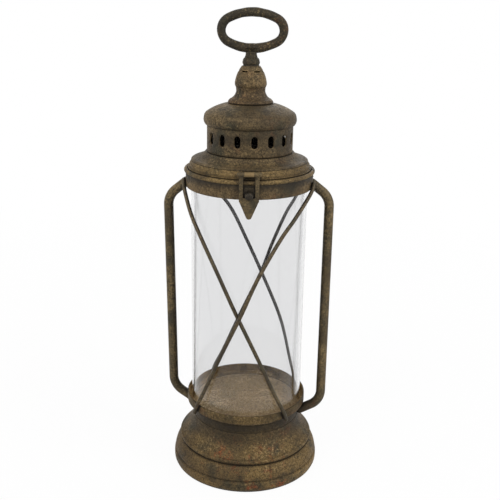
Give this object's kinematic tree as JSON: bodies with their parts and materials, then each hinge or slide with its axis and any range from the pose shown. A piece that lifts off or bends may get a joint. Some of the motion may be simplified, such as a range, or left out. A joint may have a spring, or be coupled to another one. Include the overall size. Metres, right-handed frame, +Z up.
{
  "type": "hinged candle lantern",
  "caption": "Tall round tin candle lantern with a glass chimney, guard wires, side tubes, a vented hinged lid, a hasp and a ring handle.",
  "frame": {"origin": "on the floor under the middle of the foot", "axes": "+Z up, latch and hasp towards -Y, lid hinge towards +Y, side tubes towards -X and +X"},
  "size_m": [0.16, 0.1446, 0.4439],
  "materials": {
    "aged_tin": "aged rusty brown patina on sheet metal, matt",
    "tray_patina": "warm grey-brown patina, matt",
    "wire_patina": "dark brown patina on bar and tube",
    "cast_iron_patina": "brown patina on a casting",
    "dark_iron": "dark iron",
    "clear_glass": "clear, smooth"
  },
  "bodies": {
    "lantern": {"base_foot": "aged_tin", "base_flare": "aged_tin", "gallery_cup": "aged_tin", "candle_plate": "tray_patina", "glass_chimney": "clear_glass", "upper_collar": "aged_tin", "collar_wire_rim": "aged_tin", "side_tube_left": "wire_patina", "side_tube_right": "wire_patina", "guard_wire_front_left": "wire_patina", "guard_wire_front_right": "wire_patina", "guard_wire_back_left": "wire_patina", "guard_wire_back_right": "wire_patina", "hinge_leaf_collar": "aged_tin", "hinge_rivets": "dark_iron", "hinge_pin": "dark_iron", "latch_plate": "dark_iron", "latch_stud": "dark_iron"},
    "lid": {"lid_rim": "aged_tin", "roof_skirt": "aged_tin", "vent_band": "aged_tin", "dome_cap": "aged_tin", "finial_neck": "aged_tin", "finial_hood": "aged_tin", "finial_knob": "cast_iron_patina", "ring_handle": "cast_iron_patina", "handle_washer": "dark_iron", "handle_nut": "dark_iron", "hinge_leaf_lid": "aged_tin", "hasp_bracket": "aged_tin", "hasp_pin": "dark_iron"},
    "hasp": {"hasp_plate": "aged_tin"}
  },
  "joints": [
    {"name": "lid_hinge", "type": "hinge", "parent": "lantern", "child": "lid", "pos_m": [0, 0.0637, 0.3002], "axis": [-1, 0, 0], "range_deg": [0, 105]},
    {"name": "hasp_hinge", "type": "hinge", "parent": "lid", "child": "hasp", "pos_m": [0, -0.06155, 0.3082], "axis": [-1, 0, 0], "range_deg": [0, 120]}
  ]
}
